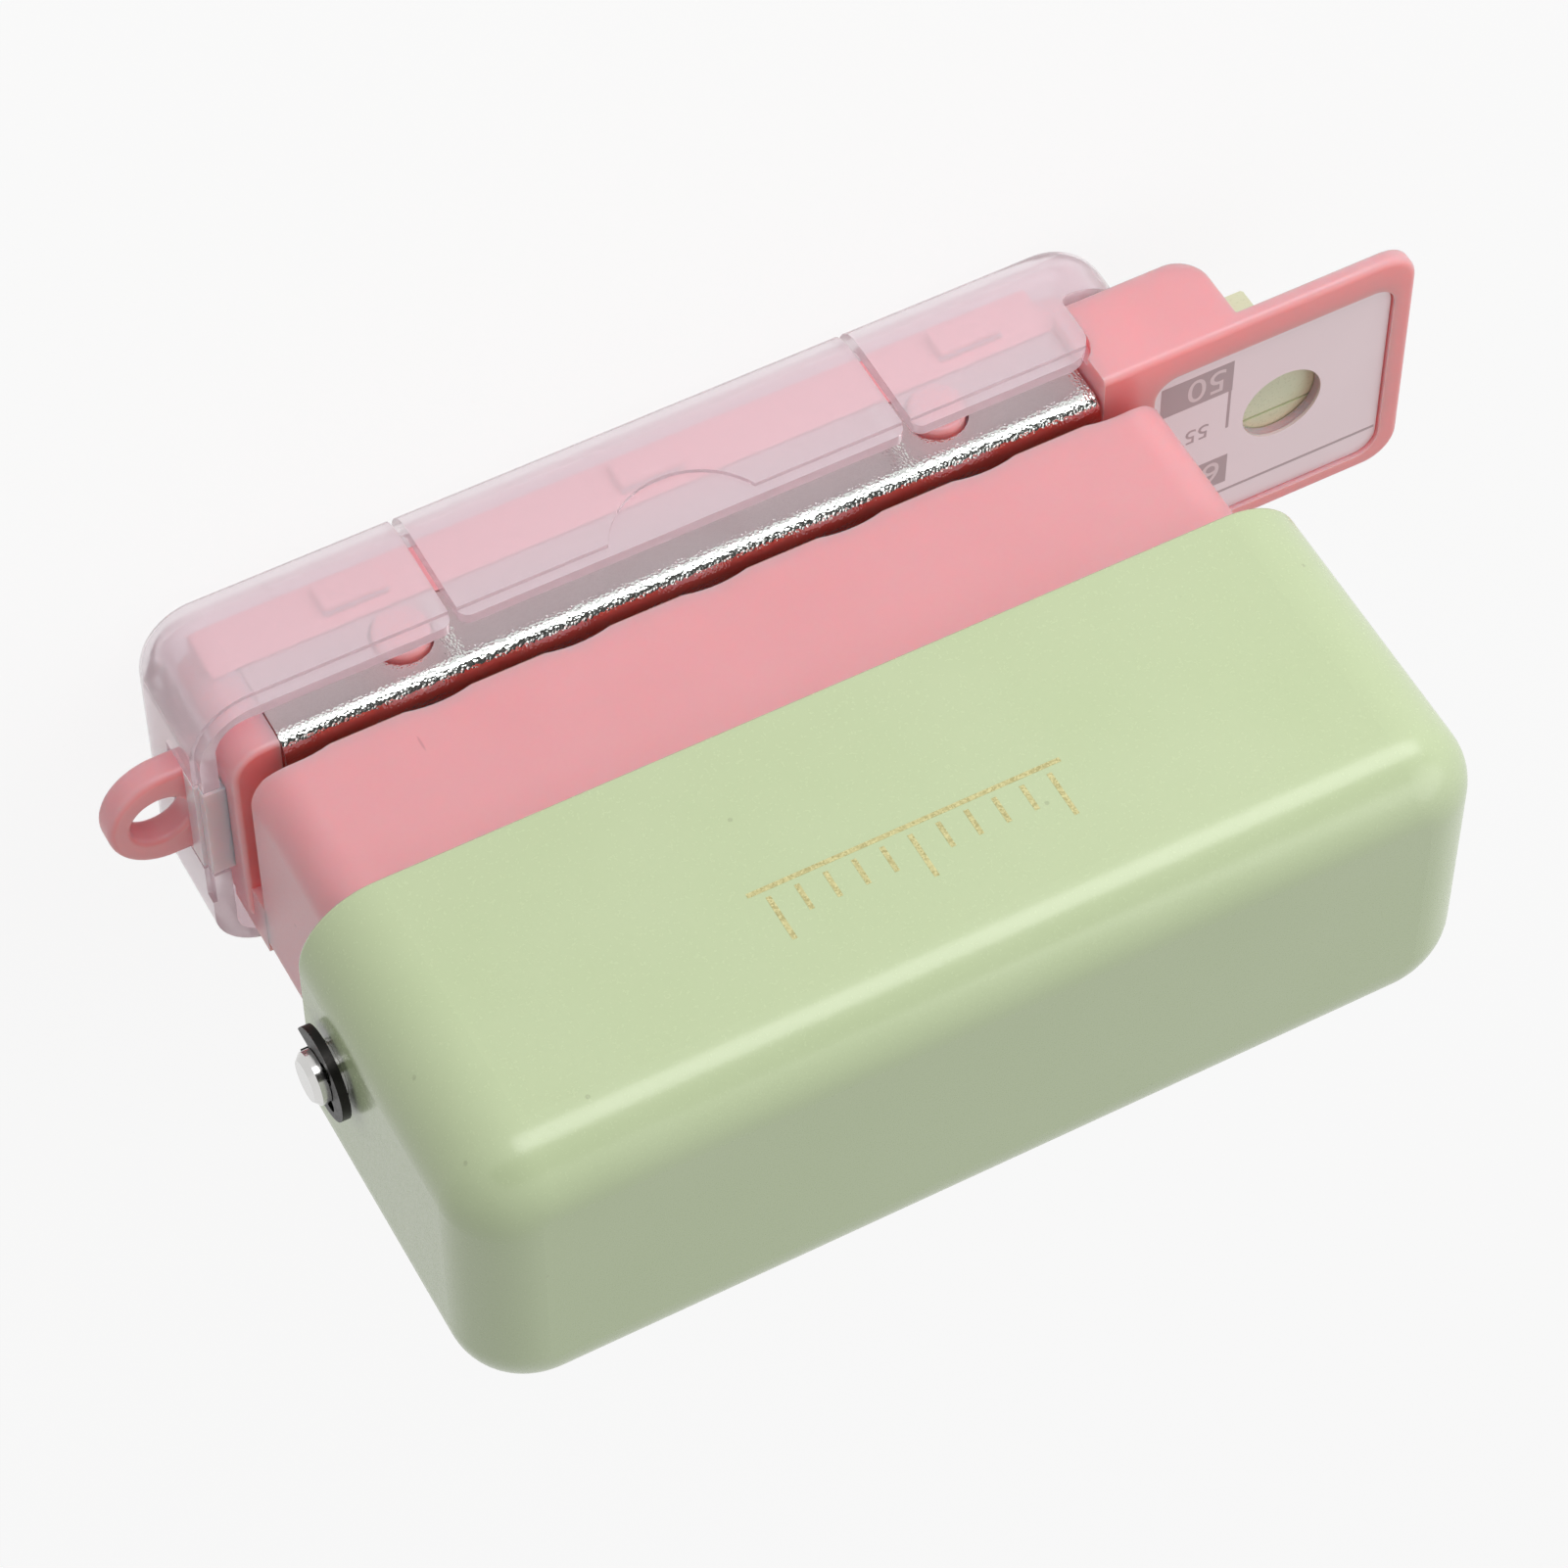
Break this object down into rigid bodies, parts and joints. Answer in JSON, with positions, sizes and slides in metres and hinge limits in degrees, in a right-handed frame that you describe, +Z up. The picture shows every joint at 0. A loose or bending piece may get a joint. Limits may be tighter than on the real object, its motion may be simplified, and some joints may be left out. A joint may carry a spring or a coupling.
{
  "type": "hole punch",
  "caption": "Hand-held loose-leaf hole punch with a press-down handle, a hinged see-through chip tray, a side arm with an edge gauge and a strap loop.",
  "frame": {"origin": "underside of the chip tray, on the middle punch's plane and half way through the handle's depth", "axes": "+Z up along the punches, +Y to the closed back of the throat, +X along the row of punches towards the strap loop"},
  "size_m": [0.091, 0.024, 0.0488],
  "materials": {
    "pink_plastic": "fine satin",
    "green_plastic": "fine satin",
    "frosted_plastic": "frosted, translucent",
    "white_plastic": "as moulded",
    "label_film": "printed film",
    "nickel_plate": "bright nickel over rolled steel",
    "polished_steel": "polished",
    "steel": "plain",
    "tool_steel": "ground",
    "spring_steel": "drawn wire",
    "black_steel": "black oxide"
  },
  "bodies": {
    "base": {"housing": "pink_plastic", "jaw": "pink_plastic", "loop_tab": "pink_plastic", "die_plate": "nickel_plate", "punch_guide": "white_plastic", "spring_posts": "steel", "guide_screws": "steel", "return_spring_left": "spring_steel", "return_spring_right": "spring_steel", "gauge_label": "label_film", "slide_washers": "white_plastic", "tray_hinge_pin": "steel"},
    "handle": {"handle_cap": "green_plastic", "handle_insert": "white_plastic", "insert_screws": "steel", "punch_bar": "steel", "punch_1": "tool_steel", "punch_2": "tool_steel", "punch_3": "tool_steel", "punch_4": "tool_steel", "punch_5": "tool_steel", "cross_rod": "polished_steel", "retaining_ring_left": "black_steel", "retaining_ring_right": "black_steel"},
    "tray": {"chip_tray": "frosted_plastic"},
    "slide": {"gauge_slide": "green_plastic"}
  },
  "joints": [
    {"name": "handle_press", "type": "slide", "parent": "base", "child": "handle", "axis": [0, 0, -1], "range_m": [0, 0.0045], "stiffness_N_per_m": 4400, "springref_m": -0.002, "deforming": ["return_spring_left", "return_spring_right"]},
    {"name": "tray_hinge", "type": "hinge", "parent": "base", "child": "tray", "pos_m": [0, 0.0103, 0.009], "axis": [1, 0, 0], "range_deg": [0, 75]},
    {"name": "gauge_travel", "type": "slide", "parent": "base", "child": "slide", "axis": [-1, 0, 0], "range_m": [0, 0.007]}
  ]
}
